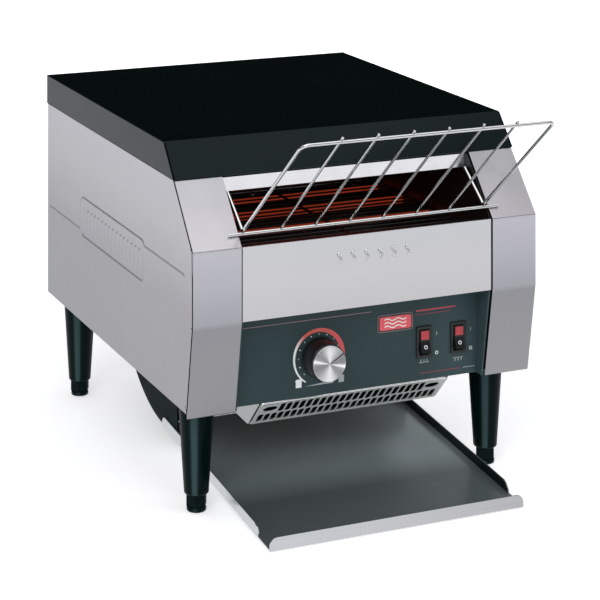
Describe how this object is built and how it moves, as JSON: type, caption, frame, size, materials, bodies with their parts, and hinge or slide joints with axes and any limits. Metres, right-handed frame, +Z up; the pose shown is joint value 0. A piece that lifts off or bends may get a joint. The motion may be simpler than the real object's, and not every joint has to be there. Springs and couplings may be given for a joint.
{
  "type": "conveyor toaster",
  "caption": "Countertop conveyor toaster: slanted wire feed rack, wire belt between heating tubes, rear drop chute, sliding front tray, tapered legs with levelling feet.",
  "frame": {"origin": "on the counter, at the middle of the overall box", "axes": "+Z up, the front with the controls faces -Y, +X is the user's right"},
  "size_m": [0.37, 0.6324, 0.3883],
  "materials": {
    "black_enamel": "gloss black enamel",
    "stainless": "fine brushed stainless sheet",
    "inner_steel": "heat-stained inner sheet",
    "slate_overlay": "satin slate control panel",
    "black_plastic": "moulded black",
    "leg_black": "gloss black moulded leg",
    "foot_black": "blackened steel levelling foot",
    "red_lens": "translucent red lens",
    "chrome_wire": "bright plated wire",
    "spun_aluminium": "spun face",
    "chute_grey": "dark grey coated sheet",
    "belt_wire": "dark stainless wire",
    "sheath": "heated element sheath",
    "steel": "machined steel",
    "bush_brass": "sintered bush",
    "motor_alloy": "die-cast housing",
    "fan_plastic": "moulded black",
    "blanket": "mineral fibre blanket",
    "block": "moulded terminal block",
    "cord_rubber": "black rubber"
  },
  "bodies": {
    "casing": {"top_cover": "black_enamel", "left_front_strip": "stainless", "right_front_strip": "stainless", "left_side_panel": "stainless", "right_side_panel": "stainless", "front_panel": "stainless", "rear_panel": "stainless", "base_pan": "stainless", "vent_grille": "stainless", "vent_box": "stainless", "upper_baffle": "stainless", "left_chamber_wall": "inner_steel", "right_chamber_wall": "inner_steel", "chamber_rear_wall": "inner_steel", "top_reflector": "inner_steel", "heat_shield": "inner_steel", "motor_bracket": "inner_steel", "control_panel": "slate_overlay", "switch_housing_top_heat": "black_plastic", "switch_housing_bottom_heat": "black_plastic", "power_plug": "black_plastic", "leg_front_left": "leg_black", "leg_front_right": "leg_black", "leg_rear_left": "leg_black", "leg_rear_right": "leg_black", "toast_chute": "chute_grey", "conveyor_belt": "belt_wire", "upper_elements": "sheath", "lower_elements": "sheath", "drive_chain": "steel", "panel_screws": "steel", "shaft_bushings": "bush_brass", "gearmotor": "motor_alloy", "fan_frame": "motor_alloy", "speed_control": "fan_plastic", "insulation_blanket": "blanket", "terminal_block": "block", "power_cord": "cord_rubber", "cord_gland": "cord_rubber", "wiring_harness": "cord_rubber"},
    "knob": {"speed_knob": "black_plastic", "knob_cap": "spun_aluminium", "control_shaft": "steel"},
    "top_heat_rocker": {"rocker_top_heat": "black_plastic", "rocker_lens_top_heat": "red_lens"},
    "bottom_heat_rocker": {"rocker_bottom_heat": "black_plastic", "rocker_lens_bottom_heat": "red_lens"},
    "tray": {"toast_tray": "stainless"},
    "rack": {"feed_rack": "chrome_wire"},
    "drive_axle": {"drive_shaft": "steel", "drive_rollers": "steel", "driven_sprocket": "steel"},
    "idler_axle": {"idler_shaft": "steel", "idler_rollers": "steel"},
    "motor_output": {"motor_sprocket": "steel"},
    "fan_wheel": {"fan_rotor": "fan_plastic"},
    "levelling_foot_front_left": {"foot_front_left": "foot_black"},
    "levelling_foot_front_right": {"foot_front_right": "foot_black"},
    "levelling_foot_rear_left": {"foot_rear_left": "foot_black"},
    "levelling_foot_rear_right": {"foot_rear_right": "foot_black"}
  },
  "joints": [
    {"name": "knob_turn", "type": "hinge", "parent": "casing", "child": "knob", "pos_m": [-0.0418, -0.1734, 0.1406], "axis": [0, -1, 0], "range_deg": [-80, 190]},
    {"name": "top_heat_switch", "type": "hinge", "parent": "casing", "child": "top_heat_rocker", "pos_m": [0.0722, -0.1604, 0.141], "axis": [1, 0, 0], "range_deg": [0, 22]},
    {"name": "bottom_heat_switch", "type": "hinge", "parent": "casing", "child": "bottom_heat_rocker", "pos_m": [0.1104, -0.1604, 0.141], "axis": [1, 0, 0], "range_deg": [0, 22]},
    {"name": "tray_slide", "type": "slide", "parent": "casing", "child": "tray", "axis": [0, -1, 0], "range_m": [0, 0.3]},
    {"name": "rack_lift", "type": "slide", "parent": "casing", "child": "rack", "axis": [0, -0.7572, 0.6532], "range_m": [0, 0.16]},
    {"name": "drive_spin", "type": "hinge", "parent": "casing", "child": "drive_axle", "pos_m": [0, 0.1106, 0.238], "axis": [1, 0, 0], "continuous": true},
    {"name": "idler_spin", "type": "hinge", "parent": "casing", "child": "idler_axle", "pos_m": [0, -0.1634, 0.238], "axis": [1, 0, 0], "continuous": true},
    {"name": "motor_spin", "type": "hinge", "parent": "casing", "child": "motor_output", "pos_m": [0.146, 0.1106, 0.165], "axis": [1, 0, 0], "continuous": true},
    {"name": "fan_spin", "type": "hinge", "parent": "casing", "child": "fan_wheel", "pos_m": [0, 0.2456, 0.215], "axis": [0, 1, 0], "continuous": true},
    {"name": "foot_adjust_front_left", "type": "slide", "parent": "casing", "child": "levelling_foot_front_left", "axis": [0, 0, -1], "range_m": [0, 0.02]},
    {"name": "foot_adjust_front_right", "type": "slide", "parent": "casing", "child": "levelling_foot_front_right", "axis": [0, 0, -1], "range_m": [0, 0.02]},
    {"name": "foot_adjust_rear_left", "type": "slide", "parent": "casing", "child": "levelling_foot_rear_left", "axis": [0, 0, -1], "range_m": [0, 0.02]},
    {"name": "foot_adjust_rear_right", "type": "slide", "parent": "casing", "child": "levelling_foot_rear_right", "axis": [0, 0, -1], "range_m": [0, 0.02]}
  ],
  "couplings": [
    {"joint": "idler_spin", "follows": "drive_spin", "ratio": 1},
    {"joint": "motor_spin", "follows": "drive_spin", "ratio": 2}
  ]
}
